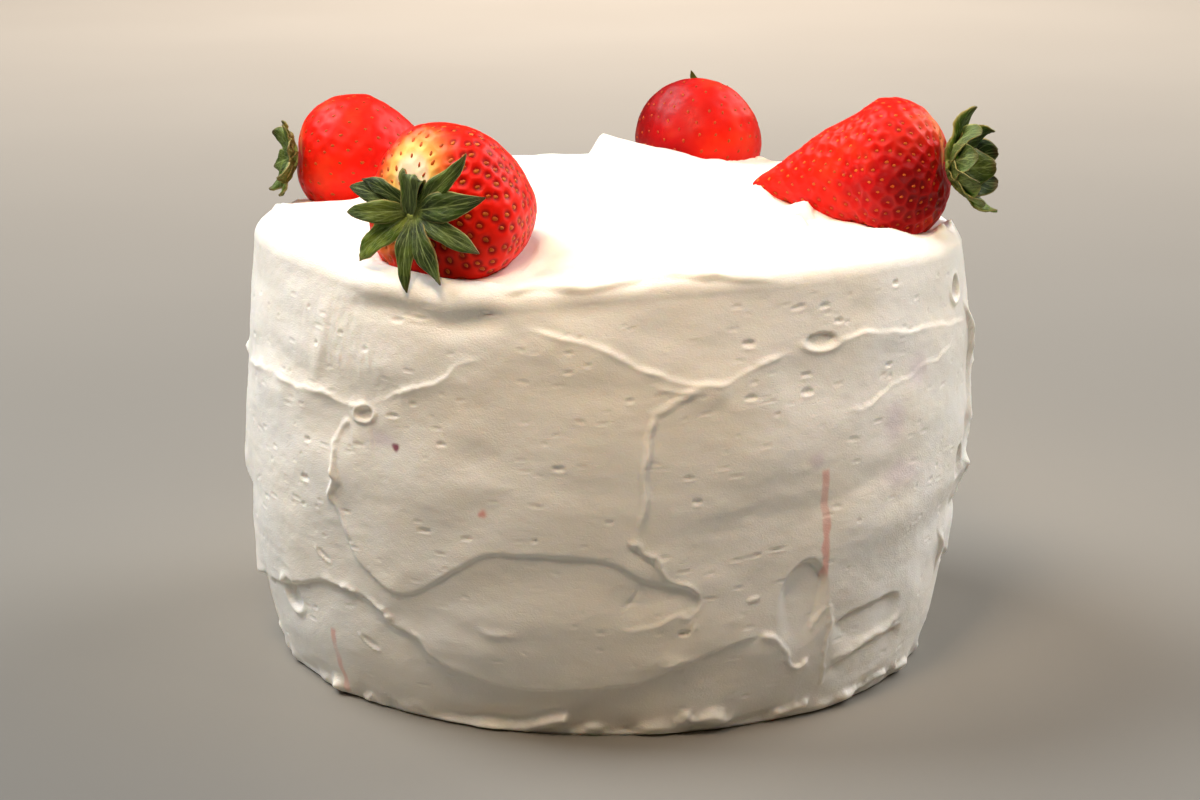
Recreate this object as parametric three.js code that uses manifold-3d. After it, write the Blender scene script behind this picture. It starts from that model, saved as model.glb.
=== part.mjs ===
// A tall round layer cake coated in whipped cream, with four whole strawberries lying on its top.
// Millimetres, +Z up. The origin is the centre of the cake's flat base, and -Y is the cake's front.
import * as THREE from "three";
import { mergeVertices } from "three/addons/utils/BufferGeometryUtils.js";
import Module from "manifold-3d";

const wasm = await Module();
wasm.setup();

// ---- Driving dimensions ----

const WAIST_RADIUS = 84.3; // the widest the coated side gets
const FOOT_TUCK = 6.8; // how far the side draws in at the table
const FOOT_HEIGHT = 14; // the height over which it fills out again
const SHOULDER_LEAN = 3; // how far the side leans in by the rim
const RIM_HEIGHT = 102.3; // where no berry weighs it down
const RIM_ROUND = 5; // radius of the rounded edge between side and top
const PLATEAU_RISE = 1.8; // the middle of the top stands this far above the rim
const PLATEAU_RADIUS = 58;
const BERRY_GAP = 0.3; // clearance left round each berry where it sinks into the cream

// Sags of the rim where a berry presses on it: centre and half width in degrees, depth in mm.
const RIM_SAGS = [
  { at: -112, width: 24, depth: 4.2 },
  { at: 0, width: 26, depth: 4.4 },
  { at: 160, width: 20, depth: 3.2 },
  { at: 70, width: 18, depth: 0.8 },
];

// Long thick smears left on the side by the spatula: centre angle, height, half sizes and thickness.
const SIDE_SMEARS = [
  { at: -4, z: 62, spread: 8, rise: 17, thick: 1.7 },
  { at: -6, z: 28, spread: 9, rise: 6, thick: 1.2 },
  { at: -150, z: 55, spread: 22, rise: 26, thick: 0.7 },
  { at: -92, z: 46, spread: 30, rise: 22, thick: 0.6 },
  { at: 60, z: 40, spread: 24, rise: 20, thick: 0.9 },
  { at: 118, z: 66, spread: 26, rise: 15, thick: 0.8 },
];

// The crest swept up at the back of the top, where the last swirl of the spatula ends in a peak:
// it climbs from one angle to the other, then drops off steeply.
const CREST = { radius: 53, from: 35, to: 91, drop: 4, rise: 9.2, inner: 9, outer: 6 };

const CAKE_SEGMENTS = 76;
const SIDE_RINGS = 14;
const RIM_RINGS = 4;
const TOP_RINGS = 7;

const BERRY_SEGMENTS = 20;
const SEPAL_STEPS = 4;

// crown is where the leafy cap sits, axis points from the tip to the crown.
// widest is the share of the length, from the tip, where a berry is broadest. bluntness and belly
// shape the flank before it: 1 and 1 is a straight cone, 2 and 0.5 an ellipse.
// lift is how far the sepals open: 90 lies along the berry's axis, 0 is flat across it.
const STRAWBERRIES = [
  {
    name: "front_left",
    crown: [-40, -65.9, 112.6],
    axis: [-0.54, -0.835, 0.105],
    length: 36,
    width: 35.8,
    squash: 1.0,
    flank: { widest: 0.71, bluntness: 1.7, belly: 0.63 },
    sepals: { count: 10, length: 16, width: 7.6, lift: [16, -30], roll: 12 },
  },
  {
    name: "right",
    crown: [77, -17.5, 113.9],
    axis: [0.92, -0.37, 0.145],
    length: 46.8,
    width: 31,
    squash: 1.08,
    flank: { widest: 0.7, bluntness: 0.95, belly: 0.82 },
    sepals: { count: 9, length: 12, width: 6.2, lift: [30, 74], roll: 0 },
  },
  {
    name: "back_left",
    crown: [-74.5, 21.6, 110.3],
    axis: [-0.96, -0.26, 0.06],
    length: 36,
    width: 30.4,
    squash: 0.99,
    flank: { widest: 0.56, bluntness: 1.45, belly: 0.98 },
    sepals: { count: 8, length: 9, width: 5.6, lift: [18, 40], roll: 20 },
  },
  {
    name: "back_right",
    crown: [25.8, 78, 112],
    axis: [0.22, 0.87, 0.4],
    length: 29,
    width: 32.8,
    squash: 0.94,
    flank: { widest: 0.68, bluntness: 1.72, belly: 0.6 },
    sepals: { count: 9, length: 11, width: 6, lift: [10, 40], roll: 34 },
  },
];

const SHOULDER_POWER = 2.4; // over 2 the crown end is squarer than an ellipse
const DIMPLE_DEPTH = 1.1; // the hollow under the leafy cap
const FLANK_RINGS = 8;
const SHOULDER_RINGS = 5;

const HUB_RADIUS = 3.4; // the disc where the sepals join
const HUB_HEIGHT = 1.6;
const SEPAL_THICKNESS = 0.9;
const SEPAL_THINNING = 0.55; // share of the thickness lost by the tip
const SEPAL_FOLD = 0.9; // how far the edges stand above the midrib, in thicknesses
const SEPAL_TIP = 0.35; // half the width of the blunt tip
const INNER_SEPAL = { length: 0.82, width: 0.85, lift: 9 }; // every second sepal is smaller and higher

// ---- Small helpers ----

const radians = THREE.MathUtils.degToRad;
const smooth = THREE.MathUtils.smoothstep;

/** The angle from b to a in degrees, between -180 and 180. */
function turn(a, b) {
  return ((((a - b + 180) % 360) + 360) % 360) - 180;
}

function bell(x, width) {
  return Math.exp(-((x / width) ** 2));
}

/** A closed skin over a stack of equal loops, which ends in one point at each side. */
function loft(start, rings, end) {
  const points = [start, ...rings.flat(), end];
  const count = rings[0].length;
  const last = rings.length - 1;
  const at = (i, j) => 1 + i * count + (j % count);
  const index = [];
  for (let j = 0; j < count; j++) {
    index.push(0, at(0, j + 1), at(0, j));
    for (let i = 0; i < last; i++) {
      index.push(at(i, j), at(i, j + 1), at(i + 1, j + 1));
      index.push(at(i, j), at(i + 1, j + 1), at(i + 1, j));
    }
    index.push(points.length - 1, at(last, j), at(last, j + 1));
  }
  return new THREE.BufferGeometry().setFromPoints(points).setIndex(index);
}

function toSolid(geometry) {
  const merged = mergeVertices(geometry, 1e-4);
  const vertProperties = merged.attributes.position.array;
  const triVerts = new Uint32Array(merged.index.array);
  return new wasm.Manifold(new wasm.Mesh({ numProp: 3, vertProperties, triVerts }));
}

function toGeometry(solid) {
  const mesh = solid.getMesh();
  const geometry = new THREE.BufferGeometry();
  geometry.setAttribute("position", new THREE.BufferAttribute(mesh.vertProperties, 3));
  geometry.setIndex(new THREE.BufferAttribute(mesh.triVerts, 1));
  geometry.computeVertexNormals();
  return geometry;
}

function food(color, roughness) {
  return new THREE.MeshStandardMaterial({ color, roughness, metalness: 0 });
}

const CREAM = food(0xf6f0e4, 0.5);
const BERRY_RED = food(0xd0201a, 0.25);
const LEAF_GREEN = food(0x4d7a2c, 0.6);

// ---- The cream-coated cake ----

/** Height of the rim at an angle in degrees. */
function rimHeight(angle) {
  return RIM_SAGS.reduce(
    (height, sag) => height - sag.depth * bell(turn(angle, sag.at), sag.width),
    RIM_HEIGHT,
  );
}

/** Radius of the side at an angle in degrees and a height. */
function sideRadius(angle, z) {
  const plain =
    WAIST_RADIUS -
    FOOT_TUCK * Math.exp(-z / FOOT_HEIGHT) -
    SHOULDER_LEAN * (z / RIM_HEIGHT) ** 4;
  const smeared = SIDE_SMEARS.reduce(
    (sum, s) => sum + s.thick * bell(turn(angle, s.at), s.spread) * bell(z - s.z, s.rise),
    0,
  );
  const turned = radians(angle);
  const uneven = 0.3 * Math.sin(2 * turned + 0.8) + 0.3 * Math.sin(5 * turned - z / 19);
  return plain + (smeared + uneven) * smooth(z, 0, FOOT_HEIGHT);
}

/** Height of the top at an angle in degrees and a radius, inside the rounded rim. */
function topHeight(angle, radius) {
  const towardsRim = smooth(radius, PLATEAU_RADIUS * 0.5, WAIST_RADIUS - RIM_ROUND);
  const plateau = RIM_HEIGHT + PLATEAU_RISE;
  const level = THREE.MathUtils.lerp(plateau, rimHeight(angle), towardsRim);
  const climb = THREE.MathUtils.clamp((angle - CREST.from) / (CREST.to - CREST.from), 0, 1);
  const cliff = 1 - smooth(angle, CREST.to, CREST.to + CREST.drop);
  const across = radius - CREST.radius;
  const crest = CREST.rise * climb * cliff * bell(across, across < 0 ? CREST.inner : CREST.outer);
  return level + crest;
}

/** One loop of the cake's skin: place(angle in degrees) gives its radius and height. */
function cakeRing(place) {
  return Array.from({ length: CAKE_SEGMENTS }, (_, i) => {
    const angle = -180 + (360 * i) / CAKE_SEGMENTS;
    const [radius, z] = place(angle);
    const turned = radians(angle);
    return new THREE.Vector3(radius * Math.cos(turned), radius * Math.sin(turned), z);
  });
}

function cakeSkin() {
  const rings = [cakeRing((angle) => [sideRadius(angle, 0) - 1, 0])];
  for (let i = 0; i <= SIDE_RINGS; i++) {
    const share = i / SIDE_RINGS;
    rings.push(
      cakeRing((angle) => {
        const z = 1 + share * (rimHeight(angle) - RIM_ROUND - 1);
        return [sideRadius(angle, z), z];
      }),
    );
  }
  for (let i = 1; i <= RIM_RINGS; i++) {
    const bend = (Math.PI / 2) * (i / RIM_RINGS);
    rings.push(
      cakeRing((angle) => {
        const foot = rimHeight(angle) - RIM_ROUND;
        const inset = RIM_ROUND * (1 - Math.cos(bend));
        return [sideRadius(angle, foot) - inset, foot + RIM_ROUND * Math.sin(bend)];
      }),
    );
  }
  for (let i = 1; i <= TOP_RINGS; i++) {
    const share = 1 - i / (TOP_RINGS + 1);
    rings.push(
      cakeRing((angle) => {
        const edge = sideRadius(angle, rimHeight(angle) - RIM_ROUND) - RIM_ROUND;
        return [share * edge, topHeight(angle, share * edge)];
      }),
    );
  }
  const base = new THREE.Vector3(0, 0, 0);
  return loft(base, rings, new THREE.Vector3(0, 0, topHeight(0, 0)));
}

// ---- Strawberries: modelled with the tip at z = 0 and the crown along +Z ----

/** Stations of a berry's outline, as [share of length from the tip, share of the half width]. */
function berryOutline({ widest, bluntness, belly }) {
  const outline = [];
  for (let i = 1; i <= FLANK_RINGS; i++) {
    const share = (i / FLANK_RINGS) ** 1.4;
    outline.push([share * widest, (1 - (1 - share) ** bluntness) ** belly]);
  }
  for (let i = 1; i < SHOULDER_RINGS; i++) {
    const bend = (Math.PI / 2) * (i / SHOULDER_RINGS);
    const rise = Math.sin(bend) ** (2 / SHOULDER_POWER);
    outline.push([widest + (1 - widest) * rise, Math.cos(bend) ** (2 / SHOULDER_POWER)]);
  }
  return outline;
}

/** A berry's flesh, grown outwards by grow all round. */
function berrySkin({ length, width, squash, flank }, grow = 0) {
  const rings = berryOutline(flank).map(([along, out]) =>
    Array.from({ length: BERRY_SEGMENTS }, (_, i) => {
      const turned = (2 * Math.PI * i) / BERRY_SEGMENTS;
      const lumpy = 1 + 0.025 * Math.cos(3 * turned + 1) * smooth(along, 0, 0.5);
      const radius = ((out * width) / 2) * lumpy + grow;
      const z = along * length + grow * (along - 0.5) * 2;
      return new THREE.Vector3(radius * Math.cos(turned), radius * squash * Math.sin(turned), z);
    }),
  );
  const crown = new THREE.Vector3(0, 0, length - DIMPLE_DEPTH + grow);
  return loft(new THREE.Vector3(0, 0, -grow), rings, crown);
}

/** One pointed leaf, lofted along its curling spine from the hub, grown outwards by grow all round. */
function sepalSkin(turned, { length, width, lift }, grow) {
  const spine = [];
  let out = HUB_RADIUS * 0.4;
  let up = HUB_HEIGHT / 2;
  for (let i = 0; i <= SEPAL_STEPS; i++) {
    const share = i / SEPAL_STEPS;
    const slope = radians(THREE.MathUtils.lerp(lift[0], lift[1], share));
    const leaf = (width / 2) * Math.sin(Math.PI * (0.16 + 0.84 * share) ** 0.85);
    const half = Math.max(SEPAL_TIP, leaf) + grow;
    const thick = SEPAL_THICKNESS * (1 - SEPAL_THINNING * share) + 2 * grow;
    spine.push({ out, up, half, thick, slope });
    out += ((length + grow) / SEPAL_STEPS) * Math.cos(slope);
    up += ((length + grow) / SEPAL_STEPS) * Math.sin(slope);
  }
  const facing = new THREE.Matrix4().makeRotationZ(turned);
  const rings = spine.map(({ out, up, half, thick, slope }) => {
    const lean = [-Math.sin(slope), Math.cos(slope)];
    const corner = (side, rise) =>
      new THREE.Vector3(out + lean[0] * rise, side, up + lean[1] * rise).applyMatrix4(facing);
    return [
      corner(-half, thick * SEPAL_FOLD),
      corner(0, -thick / 2),
      corner(half, thick * SEPAL_FOLD),
      corner(0, thick / 2),
    ];
  });
  const middle = (ring) => ring[1].clone().add(ring[3]).multiplyScalar(0.5);
  return loft(middle(rings[0]), rings, middle(rings.at(-1)));
}

/** The hub disc and its ring of sepals, as one solid. z = 0 is the underside of the hub. */
function calyxSolid({ sepals }, grow = 0) {
  const hub = new THREE.CylinderGeometry(HUB_RADIUS * 0.7, HUB_RADIUS, HUB_HEIGHT, 12);
  hub.rotateX(Math.PI / 2).translate(0, 0, HUB_HEIGHT / 2);
  hub.deleteAttribute("normal");
  hub.deleteAttribute("uv");
  let calyx = toSolid(hub);
  for (let i = 0; i < sepals.count; i++) {
    const turned = radians(sepals.roll + (360 * i) / sepals.count);
    const size = i % 2 === 1 ? INNER_SEPAL : { length: 1, width: 1, lift: 0 };
    const length = sepals.length * size.length * (1 + 0.06 * Math.sin(5 * i));
    const width = sepals.width * size.width;
    const lift = sepals.lift.map((angle) => angle + size.lift + 4 * Math.sin(3 * i));
    calyx = calyx.add(toSolid(sepalSkin(turned, { length, width, lift }, grow)));
  }
  return calyx;
}

function strawberry(spec) {
  const group = new THREE.Group();
  const axis = new THREE.Vector3(...spec.axis).normalize();
  const across = new THREE.Vector3(0, 0, 1).cross(axis).normalize();
  const upward = axis.clone().cross(across);
  group.quaternion.setFromRotationMatrix(new THREE.Matrix4().makeBasis(across, upward, axis));
  group.position.fromArray(spec.crown).addScaledVector(axis, -spec.length);

  const flesh = new THREE.Mesh(berrySkin(spec), BERRY_RED);
  flesh.name = `strawberry_${spec.name}`;
  const calyxLift = spec.length + BERRY_GAP;
  const grown = toSolid(berrySkin(spec, BERRY_GAP)).translate([0, 0, -calyxLift]);
  const calyx = new THREE.Mesh(toGeometry(calyxSolid(spec).subtract(grown)), LEAF_GREEN);
  calyx.name = `calyx_${spec.name}`;
  calyx.position.z = calyxLift;
  group.add(flesh, calyx);
  group.updateMatrixWorld(true);
  return group;
}

// ---- Assembly ----

const cake = new THREE.Group();
let cream = toSolid(cakeSkin());
for (const spec of STRAWBERRIES) {
  const berry = strawberry(spec);
  const bed = berrySkin(spec, BERRY_GAP).applyMatrix4(berry.matrixWorld);
  const leaves = toGeometry(calyxSolid(spec, BERRY_GAP));
  leaves.translate(0, 0, spec.length + BERRY_GAP).applyMatrix4(berry.matrixWorld);
  cream = cream.subtract(toSolid(bed)).subtract(toSolid(leaves));
  cake.add(berry);
}
const coated = new THREE.Mesh(toGeometry(cream), CREAM);
coated.name = "frosted_cake";
cake.add(coated);

export default cake;
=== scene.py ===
"""A layer cake coated in whipped cream, with four strawberries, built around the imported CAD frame."""
import math

import bpy
import numpy as np
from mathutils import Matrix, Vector
from mathutils.bvhtree import BVHTree
from mathutils.kdtree import KDTree


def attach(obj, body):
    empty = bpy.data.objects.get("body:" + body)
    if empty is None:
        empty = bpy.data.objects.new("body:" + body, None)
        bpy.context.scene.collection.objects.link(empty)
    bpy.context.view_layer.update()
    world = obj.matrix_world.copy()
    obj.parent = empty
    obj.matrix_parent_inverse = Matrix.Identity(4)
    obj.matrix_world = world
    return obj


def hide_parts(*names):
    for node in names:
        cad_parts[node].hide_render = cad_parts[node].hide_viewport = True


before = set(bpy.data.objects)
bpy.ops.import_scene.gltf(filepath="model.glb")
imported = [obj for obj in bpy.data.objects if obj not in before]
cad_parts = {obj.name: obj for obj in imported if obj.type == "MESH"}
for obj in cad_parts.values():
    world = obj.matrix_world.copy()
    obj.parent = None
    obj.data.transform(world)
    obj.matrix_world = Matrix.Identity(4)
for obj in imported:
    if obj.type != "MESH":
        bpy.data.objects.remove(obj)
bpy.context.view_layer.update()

# Lengths are in millimetres until a mesh is made. The cake stands on z = 0 and its front faces -Y.
# "across" is the distance round the side from the middle of the front, positive to the right.
MM = 0.001
GOLDEN_TURN = math.pi * (3 - math.sqrt(5))

# ---- The coated cake: the driving dimensions of its CAD solid, with a finer crest ----

WAIST_RADIUS = 84.3
FOOT_TUCK = 6.8
FOOT_HEIGHT = 14
SHOULDER_LEAN = 3
RIM_HEIGHT = 102.3
RIM_ROUND = 5
PLATEAU_RISE = 1.8
PLATEAU_RADIUS = 58
CREST = {"radius": 53, "from": 60, "to": 91, "drop": 6, "rise": 7.8, "inner": 9, "outer": 6}

# Centre angle, half width in degrees and depth of the rim's sags under the berries.
RIM_SAGS = [(-112, 24, 4.2), (0, 26, 4.4), (160, 20, 3.2), (70, 18, 0.8)]

# Centre angle, height, half sizes and thickness of the side's thick smears.
SIDE_SMEARS = [
    (-4, 62, 8, 17, 1.7), (-6, 28, 9, 6, 1.2), (-150, 55, 22, 26, 0.7), (-92, 46, 30, 22, 0.6),
    (60, 40, 24, 20, 0.9), (118, 66, 26, 15, 0.8),
]

# Where the side draws in more than elsewhere: centre angle, half width, top height and depth.
SIDE_TUCKS = [(-8, 30, 40, 2.6), (150, 34, 26, 1.2)]

# The mesh: its columns, and its rows up the side, round the rim and under the foot. HALVINGS are the
# radii inside which the top's rings lose half of their points.
COLUMNS = 1024
SIDE_ROWS = 236
RIM_ROWS = 16
BASE_ROWS = 5
HALVINGS = (60, 30, 12)
TOP_RING_GAP = 0.7
# Where the skin's outward direction points up by more than this, in radians, it is the side, the rim
# and the top.
SIDE_SLOPE = -1
RIM_SLOPE = 0.3
TOP_SLOPE = 1.56

# How the cream meets a berry: the space that it leaves, the height and width of the lip that it raises,
# and how far the pink glow painted on the cream round the berry reaches.
SEAT_GAP = 0.3
SEAT_LIP = 0.9
SEAT_LIP_WIDTH = 2.2
BLUSH_REACH = 2.8

# ---- Strokes of the spatula ----


def stroke(*path, **shape):
    return dict(shape, path=path)


# Each row is the edge of one stroke, in mm across and up the side. The stroke lies on the left of its
# path. It rises by high towards the edge over a reach, and what it covers dips by low over a reach. bead
# is a thin crest along the edge, as height and half width. curl leans that crest over the covered side.
# groove is a soft trough beside the edge, or a roll where its depth is negative: its distance to the
# left, depth and half width. fade is how long the two ends take to rise, and ragged tears the edge.
FRONT_LAPS = [
    # the soft roll under the front berry, and the lip of the rim
    stroke((-66, 90), (-56, 92.4), (-46, 91.6), (-36, 90.6), (-28, 91.2), (-20, 94), groove=(0, 0.75, 2.6),
           fade=(16, 8)),
    stroke((-42, 90.8), (-34, 90.4), (-26, 91.6), (-19, 94), groove=(0, 0.6, 2.2), fade=(12, 8)),
    stroke((-66, 97), (-52, 96.6), (-40, 96), (-30, 96.6), (-22, 98), groove=(0, -1.1, 3.2), fade=(16, 8)),
    stroke((-24, 97.2), (-17, 98.1), (-4, 98.7), (5, 100.2), (12, 101), (24, 100.2), (40, 99),
           high=(0.9, 3), low=(0.25, 4), groove=(-3.4, 0.5, 3), fade=(5, 14), ragged=0.04),
    # the lower edge of the upper left stroke
    stroke((-55, 72), (-62, 70.6), (-70, 71.8), (-80, 71.4), (-90, 72.3), (-106, 71), (-122, 68),
           high=(0.4, 7), bead=(0.22, 1.1), groove=(-4, 0.3, 3), fade=(1, 24), ragged=0.2),
    stroke((-20, 87.6), (-29, 83.6), (-35, 80), (-38, 77.8), (-45, 75.2), (-54, 72.2), (-61, 71),
           high=(0.35, 6), bead=(0.14, 1), fade=(9, 1), ragged=0.3),
    # the wavy edge that falls from it, which turns into the long curve under the middle stroke
    stroke((-60, 67.5), (-63, 64.5), (-64.5, 60), (-64.5, 55.5), (-63, 52.6), (-66.6, 49), (-65, 47.6),
           (-62, 44), (-60, 39.5), high=(0.15, 5), bead=(0.55, 0.85), fade=(1, 5), ragged=0.2),
    stroke((-64.5, 57), (-63.6, 52.6), (-66.4, 49.4), (-65.4, 47), bead=(0.45, 0.7), fade=(3, 2),
           ragged=0.3),
    stroke((-64, 46), (-61, 39), (-58.5, 35.5), (-53, 32.4), (-49, 30.9), (-45, 30.4), (-41, 32),
           (-33, 37.4), (-25, 41.6), (-17, 42.8), (-4, 42), (2, 40.8), (7, 37.8), (12, 36.3), (17, 35.9),
           high=(0.35, 7), low=(0.35, 6), groove=(-6, 0.7, 5), fade=(7, 4), ragged=0.05),
    # the long ridge over the middle, its stub, and the branch that runs down from it
    stroke((41, 84.4), (36, 83.2), (31, 81.3), (24, 78.8), (15, 80), (8, 82.4), (0, 86.1), (-8, 88.7),
           (-20, 91), high=(0.55, 9), bead=(0.3, 0.65), groove=(-5.5, 0.5, 5), fade=(7, 12), ragged=0.1),
    stroke((20, 78.2), (15, 77.6), (9, 78.4), bead=(0.3, 0.5), fade=(3, 3), ragged=0.1),
    stroke((22, 78.3), (17, 77), (13, 74.6), (8, 72.6), bead=(0.45, 0.8), fade=(5, 2), ragged=0.15),
    stroke((27, 79.6), (31, 81.2), (36, 83), (42, 84.6), bead=(0.3, 0.6), fade=(6, 9), ragged=0.1),
    stroke((10, 73.2), (8.9, 69), (8.3, 62), (7.8, 54), (7, 46), bead=(1.1, 0.7), fade=(2, 6), ragged=0.06),
    # the torn flap at the middle, with the ledge and crease inside it
    stroke((4, 46.2), (7, 44.8), (10, 42.3), (12, 40.2), (13, 37.6), (16.4, 36), (19.4, 33.8), (20, 31.6),
           (18.6, 29.4), (16, 28), high=(0.3, 3), low=(0.35, 4), bead=(0.7, 0.55), curl=0.2, fade=(2, 2),
           ragged=0.3),
    stroke((20, 30.6), (15, 28.6), (10, 27), (5, 26.4), (2, 27.6), high=(0.4, 2.4), bead=(0.12, 0.5),
           fade=(2, 5), ragged=0.1),
    stroke((8, 36.5), (6, 33), (3, 30), groove=(0, 0.25, 0.6), fade=(2, 3)),
    stroke((15.6, 28), (18.4, 27), (19.2, 25), bead=(0.5, 0.6), fade=(1, 1), ragged=0.3),
    # the lowest overhang, all along the front, with its bright torn stretch on the left
    stroke((-104, 19.5), (-92, 22), (-80, 25.4), (-71, 27.6), (-63, 27.4), (-57, 26.4), (-52.6, 25),
           (-51, 22.6), (-46.4, 21.2), (-42.6, 19.4), (-40.4, 16.8), (-34, 14.6), (-24, 11.6), (-12, 11),
           (-2, 11.4), (6, 12.8), (15, 16.4), (25, 20.4), (35, 22.6), high=(0.5, 7), low=(0.6, 6),
           groove=(-5, 0.35, 4), fade=(8, 6), ragged=0.12),
    stroke((-50.4, 23), (-53, 25.4), (-58, 27.2), (-64, 28.6), (-72, 28.8), high=(0.3, 2), bead=(0.3, 0.8),
           fade=(1, 5), ragged=0.5),
    stroke((-39.6, 16.2), (-42, 20.2), (-46, 22.2), bead=(0.35, 0.6), fade=(1, 3), ragged=0.4),
    stroke((11, 16.4), (16, 17.8), (21, 17), high=(0.35, 2), bead=(0.15, 0.8), fade=(3, 3), ragged=0.4),
    # round the print of the knife's tip on the right
    stroke((48, 15.2), (45, 13.8), (42, 15.8), (39.6, 19.2), (36.6, 22.6), (34, 22.4), high=(0.7, 1.6),
           bead=(0.4, 0.7), fade=(2, 2), ragged=0.3),
    stroke((47.4, 21.4), (49, 24.4), (51.4, 26.6), bead=(0.4, 0.55), fade=(1, 1), ragged=0.3),
    stroke((52.4, 29), (52.4, 18), (53.6, 7), bead=(0.32, 0.6), fade=(3, 2), ragged=0.5),
    # ridges on the upper right
    stroke((116, 79), (100, 81), (85, 83), (70, 84), (61, 85.6), (53.5, 85.2), high=(0.35, 3),
           bead=(0.12, 0.5), groove=(-4, 0.3, 4), fade=(10, 2), ragged=0.12),
    stroke((100, 78), (95, 76.4), (88, 74.8), (82, 74.6), (76, 72.4), (68, 72), (62, 70), (52, 69.6),
           high=(0.28, 3), bead=(0.1, 0.4), fade=(6, 8), ragged=0.3),
    # faint level troughs across the middle right
    stroke((14, 47.6), (32, 49), (48, 50), (66, 53), (84, 55), groove=(0, 0.28, 2.6), fade=(14, 14)),
    stroke((18, 56), (36, 55.4), (50, 57), groove=(0, 0.2, 2.4), fade=(9, 9)),
    stroke((-40, 62), (-20, 60), (0, 62), groove=(0, 0.25, 4), fade=(14, 14)),
    # flaps that stand out at the right edge
    stroke((112, 85), (117, 76), (118, 67), (116, 58), (112, 50), high=(0.7, 8), low=(0.6, 4),
           bead=(0.6, 3), ragged=0.15),
    stroke((112, 47), (116, 41), (114, 34), high=(0.5, 6), low=(0.4, 4), bead=(1.2, 3), fade=(3, 4),
           ragged=0.15),
    stroke((98, 34), (103, 27), (103, 19), high=(0.5, 6), low=(0.5, 4), bead=(0.5, 2.2), ragged=0.15),
    # a smear low on the front, and knobs of cream squeezed out at the foot
    stroke((-29, 25.6), (-24, 24.4), (-17, 24), bead=(0.35, 1.1), fade=(4, 5), ragged=0.2),
    stroke((-46, 0.2), (-32, 0.4), (-22, 0.9), (-15, 2.2), (-11, 3.6), (-8.6, 3.9), bead=(2.4, 1.3),
           groove=(3, 0.5, 1.6), fade=(16, 1.4), ragged=0.15),
    stroke((-8, 0.6), (-2, 1.6), (4, 0.8), bead=(1.1, 1.2), fade=(3, 3), ragged=0.4),
    stroke((13, 2.6), (18, 4), (24, 4.2), (31, 2.2), bead=(1.4, 1.3), fade=(4, 4), ragged=0.5),
    stroke((38, 1.2), (43, 2.6), (47, 3.6), (50, 2.6), bead=(2, 1.2), fade=(4, 1.5), ragged=0.4),
    stroke((-88, 0.6), (-79, 0.8), (-74, 1.8), (-70, 1.2), bead=(1.5, 1.6), fade=(8, 3), ragged=0.3),
    stroke((-67, 0.8), (-61, 1.2), (-56, 0.6), bead=(0.9, 1.3), fade=(3, 3), ragged=0.4),
    stroke((58, 1.6), (70, 2.6), (84, 3), (98, 3.6), bead=(0.9, 1.2), fade=(5, 8), ragged=0.5),
    # the rough wet edge on the left
    stroke((-69, 93), (-68.6, 86), (-70, 79), (-73, 72), groove=(0, -0.35, 2), fade=(5, 5)),
    # the ridge between the two level dents low on the right
    stroke((54.5, 13.4), (62, 14.2), (70, 15.6), (79, 18.6), bead=(0.4, 0.9), fade=(1, 4), ragged=0.3),
]

# The parts of the side that face away, in the same manner.
BACK_LAPS = [
    stroke((-205, 78), (-180, 73), (-158, 76), (-140, 70), (-122, 68), high=(0.6, 7), low=(0.3, 4),
           bead=(0.5, 1), ragged=0.3),
    stroke((-236, 52), (-214, 47), (-196, 50), (-176, 42), (-150, 40), (-128, 44), (-110, 40),
           high=(0.9, 8), low=(0.9, 8), curl=0.3, ragged=0.1),
    stroke((-176, 72), (-180, 64), (-176, 55), (-183, 46), high=(0.3, 6), bead=(0.7, 0.9), ragged=0.4),
    stroke((-240, 20), (-214, 24), (-186, 18), (-160, 21), (-136, 16), (-104, 21), high=(0.9, 8),
           low=(1.1, 12), curl=0.4, ragged=0.2),
    stroke((-176, 95), (-160, 91), (-144, 93), (-130, 91), bead=(0.5, 0.8), groove=(4, 0.8, 3), ragged=0.1),
    stroke((118, 66), (134, 70), (152, 66), (176, 71), (200, 77), (222, 74), high=(0.6, 8), low=(0.4, 4),
           bead=(0.5, 1), ragged=0.3),
    stroke((150, 64), (146, 56), (150, 47), (144, 38), (148, 30), high=(0.3, 6), low=(0.2, 4),
           bead=(0.7, 0.9), ragged=0.4),
    stroke((112, 24), (130, 20), (152, 24), (176, 18), (204, 22), (226, 17), (246, 21), high=(0.9, 9),
           low=(1.1, 12), curl=0.4, ragged=0.2),
    stroke((160, 44), (182, 40), (204, 46), (226, 42), (250, 46), high=(0.7, 8), low=(0.6, 4), curl=0.2,
           ragged=0.1),
    stroke((-262, 66), (-244, 60), (-226, 64), (-206, 60), high=(0.5, 6), low=(0.3, 4), bead=(0.4, 0.8),
           ragged=0.3),
    stroke((214, 73), (220, 62), (214, 52), (219, 44), high=(0.3, 6), low=(0.2, 4), bead=(0.6, 0.8),
           ragged=0.4),
    stroke((206, 92), (228, 88), (250, 91), bead=(0.5, 0.8), groove=(4, 0.9, 3), ragged=0.1),
]

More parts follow.
